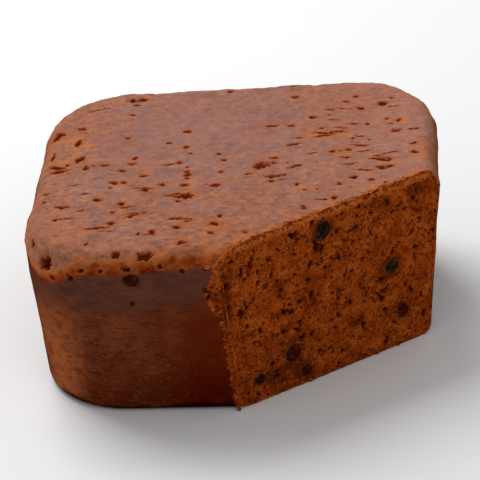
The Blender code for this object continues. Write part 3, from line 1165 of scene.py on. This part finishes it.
# %% The skin where the tin was
def side_colour(skin, soft, blotch, patchy, mottle, fleck):
    """A mauve band under the crease as a painted reflection, then brown partly darkened as painted shade,
    red towards the cut, tan at the corner partly as painted light, and a painted contact shadow at the
    foot.
    """
    below, red, tan = (skin.stored(zone) for zone in ("below", "red", "tan"))
    rows = skin.noise(1.3, 3, (3.5, 3.5, 1), 0.6, shift=4.4)
    step = skin.step
    lively = (0.2 + 0.8 * step(below, 0.18, 0.34)) * (1 - 0.75 * red)
    flaked = lively * (1 - 0.5 * tan)
    # height over the base, used for the painted contact shadow at the foot
    above_foot = skin.height() + 0.005 * patchy - 0.0015 * red
    return skin.layers(
        # painted reflection: the mauve band just under the crease stands for the bright surroundings
        # mirrored in the satin skin
        (0.084, 0.03, 0.022),
        ((0.122, 0.038, 0.023), step(mottle * 0.5 + patchy * 0.5, 0.4, 0.6)),
        # the browns below are darker than the crown, partly their own tin-baked colour and partly painted
        # shade of sides that face away from the lamp, and darker still towards the foot
        ((0.132, 0.03, 0.0115), step(below + 0.2 * (patchy + blotch), 0.36, 0.56)),
        ((0.098, 0.014, 0.003), step(below, 0.45, 1.0)),
        ((0.112, 0.0105, 0.0009), red * step(below, 0.12, 0.42) * 0.9),
        ((0.06, 0.0026, 0.0003), red * step(below, 0.5, 1.0) * 0.9),
        ((0.2, 0.054, 0.019), step(patchy * 0.6 + soft * 0.4, 0.48, 0.64) * lively * 0.5),
        # partly painted light: tan at the front left corner, partly thin pale skin and partly the window
        # light that falls on that corner
        ((0.58, 0.165, 0.056), tan * step(below, 0.06, 0.7) * (0.55 + 0.7 * mottle)),
        ((0.06, 0.012, 0.003), step(1 - patchy, 0.5, 0.66) * flaked * 0.55),
        ((0.26, 0.078, 0.026), step(fleck, 0.55, 0.68) * flaked * 0.55),
        ((0.04, 0.008, 0.002), step(1 - rows, 0.54, 0.66) * (0.1 + 0.5 * flaked)),
        # painted contact shadow: near black along the foot, where the cake meets the floor
        ((0.016, 0.002, 0.001), 1 - step(above_foot, 0.0032, 0.0064)),
    )


# %% Crust
def make_crust(name, relief):
    """The skin of the cake: satin on top, dull where the tin was, crumbly where it broke."""
    skin = Finish(name, Specular_IOR_Level=0.0, Coat_Roughness=0.45)
    soft = skin.noise(30, 3)
    blotch = skin.noise(8, 4, (1.6, 1, 1), shift=3.1)
    patchy = skin.noise(5.0, 4, (1.5, 1.5, 1), 0.6, shift=5.9)
    mottle = skin.noise(2.6, 4, (1.3, 1.2, 1), 0.6, shift=8.2)
    streak = skin.noise(1.5, 4, (1.8, 1, 1), 0.6, shift=7.7)
    fleck = skin.noise(0.9, 3, (1.2, 1.2, 1), 0.65, shift=1.3)
    crown, rim, hollow, halo = (skin.stored(zone) for zone in ("crown", "rim", "hollow", "halo"))
    top = crown_colour(skin, soft, blotch, patchy, mottle, streak, fleck)
    side = side_colour(skin, soft, blotch, patchy, mottle, fleck)
    # ring: the red brown inside of the pits on the crown; below the crown it is near black, painted shade
    # in the holes and seats of the sides
    ring = skin.mix((0.05, 0.007, 0.0012), (0.28, 0.046, 0.007), crown)
    crumbly, _ = crumb_colour(skin)
    crumbly = skin.mix(crumbly, (0.56, 0.16, 0.036), 0.6 * crown)
    colour = skin.layers(
        side,
        (top, crown),
        ((0.37, 0.1, 0.028), halo * crown * (0.9 * mottle + 0.1)),
        (ring, skin.step(hollow, 0.0, 0.25) * 0.92),
        # painted shade: near black at the bottom of the deepest pits
        ((0.08, 0.01, 0.0012), skin.step(hollow + 0.8 * mottle, 0.62, 1.22) * 0.9),
        (crumbly, skin.stored("torn")),
    )
    skin.set(Base_Color=colour, Roughness=0.45 + 0.3 * fleck,
             Coat_Weight=crown * (1 - hollow) * (1 - rim) * skin.step(soft, 0.35, 0.7) * 0.14)
    skin.bump(streak * 0.6 + fleck * 0.4, relief, 0.9)
    return skin.material


crown_skin = make_crust("crown skin", 0.45 * MM)
tin_skin = make_crust("tin skin", 0.25 * MM)


# %% [markdown]
# The crumb is moist but dull, so only its colour and its fine grain count. It also covers the
# narrow edge of the skin that the knife left, which is picked by its normal.

# %% Crumb
moist = Finish("moist crumb", Specular_IOR_Level=0.0)
colour, fine = crumb_colour(moist)
moist.set(Base_Color=colour, Roughness=0.65 + 0.3 * fine)
moist.bump(fine, 0.45 * MM, 0.9)
for piece in (crumb, crumbs):
    dress(piece, moist.material)

# %% Which finish each face of the crust gets
dress(crust, crown_skin, tin_skin, moist.material)
middles = faces_of(crust, "center")
on_edge = (faces_of(crust, "normal") @ np.array(CUT_OUTWARD) > 0.97) & (behind_cut(middles) < 0.6 * MM)
below_crease = middles[:, 2] < crease_level(middles)
slots = np.where(on_edge, 2, np.where(below_crease, 1, 0))
crust.data.polygons.foreach_set("material_index", slots.astype(np.int32))
print("faces of each finish", np.bincount(slots))

# %% [markdown]
# A raisin is dark red brown, or nearly black with an olive cast, and in the crumb it is hardly
# glossy, so its lighter patches, olive on the greener ones, are partly its own colour and partly
# painted highlights. Crumb clings to it, most of all round its rim, where the knife pushed it.

# %% Raisin
dried = Finish("raisin", Specular_IOR_Level=0.01, Coat_Roughness=0.35)
patch = dried.noise(2.6, 3, shift=4.0)
fine = dried.noise(0.6, 3, shift=6.0)
green = dried.stored("green")
deep = dried.mix((0.033, 0.003, 0.0005), (0.0085, 0.0048, 0.0022), green)
# lighter patches, olive on the greener raisins: partly their own colour, partly painted highlights
light = dried.mix((0.09, 0.013, 0.0018), (0.05, 0.037, 0.016), green)
crumbly, _ = crumb_colour(dried)
dust = dried.step(dried.noise(1.3, 3, shift=3.0) + dried.stored("dusted"), 0.95, 1.1)
colour = dried.layers(
    deep,
    (light, dried.step(patch, 0.5, 0.68)),
    ((0.09, 0.016, 0.0022), dried.step(fine, 0.5, 0.72) * 0.55),
    (crumbly, dust),
)
dried.set(Base_Color=colour, Roughness=0.42 + 0.35 * fine, Coat_Weight=0.03 * patch * (1 - dust))
dried.bump(fine, 0.3 * MM, 0.8)
for raisin in raisins:
    dress(raisin, dried.material)
print("finishes", [material.name for material in bpy.data.materials])

# %% [markdown]
# ## Smooth the pieces and tie them to the frame
# Every piece rides on the body root. The crust and the crumb together stand for the cake node
# and each raisin for its own fruit.

# %% Smooth and tie
for piece in (crust, crumb, crumbs, *raisins):
    take(piece)
    bpy.ops.object.shade_smooth_by_angle(angle=math.radians(60))
    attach(piece, "root")
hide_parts("cake")
for node, raisin in zip(seats, raisins):
    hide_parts(node)

# %% [markdown]
# ## Floor, light and camera
# A pale floor and two soft lamps: a strong one from behind and the left, as from a window, and
# a weak one in front. White surroundings fill the shadows. The camera looks down by about
# thirty degrees, from far off through a long lens, so that the sides stay nearly parallel.

# %% Floor
floor = add(bpy.ops.mesh.primitive_plane_add, "floor", size=12, location=(0, 0, -0.2 * MM))
floor_finish = Finish("pale floor", Roughness=0.9, Specular_IOR_Level=0.1)
floor_finish.set(Base_Color=floor_finish.mix(
    (0.86, 0.86, 0.86), (0.88, 0.88, 0.88), floor_finish.noise(300, 2)))
dress(floor, floor_finish.material)
floor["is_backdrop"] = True

# %% Light
middle = Vector((0, 0, CAKE_HEIGHT / 2))


def soft_lamp(name, place, size, power):
    """A square area lamp that faces the cake."""
    lamp = add(bpy.ops.object.light_add, name, type="AREA", location=place)
    lamp.data.shape = "SQUARE"
    lamp.data.size = size
    lamp.data.energy = power
    lamp.rotation_euler = (middle - Vector(place)).to_track_quat("-Z", "Y").to_euler()


soft_lamp("window", (-0.5, 0.6, 1.05), 0.8, 14.0)
soft_lamp("front_fill", (0.6, -1.0, 0.9), 0.9, 2.0)
world = bpy.data.worlds.new("studio")
bpy.context.scene.world = world
world.use_nodes = True
backdrop = world.node_tree.nodes["Background"]
backdrop.inputs["Color"].default_value = (1.0, 1.0, 1.0, 1)
backdrop.inputs["Strength"].default_value = 0.4

# %% Camera
CAMERA_PLACE = Vector((0.0562, -0.8867, 0.5284))
LOOKING = Vector((0.04345, 0.88595, -0.46175))
towards = middle - CAMERA_PLACE
turn = LOOKING.rotation_difference(towards) @ LOOKING.to_track_quat("-Z", "Y")
camera = add(bpy.ops.object.camera_add, "Camera", location=CAMERA_PLACE, rotation=turn.to_euler())
camera.data.lens = 195
camera.data.clip_start = 0.01
bpy.context.scene.camera = camera
bpy.context.scene.view_settings.view_transform = "Standard"

# %% Size, beside the frame's own size
dressed_low, dressed_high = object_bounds()
print("dressed", in_mm(dressed_high - dressed_low))
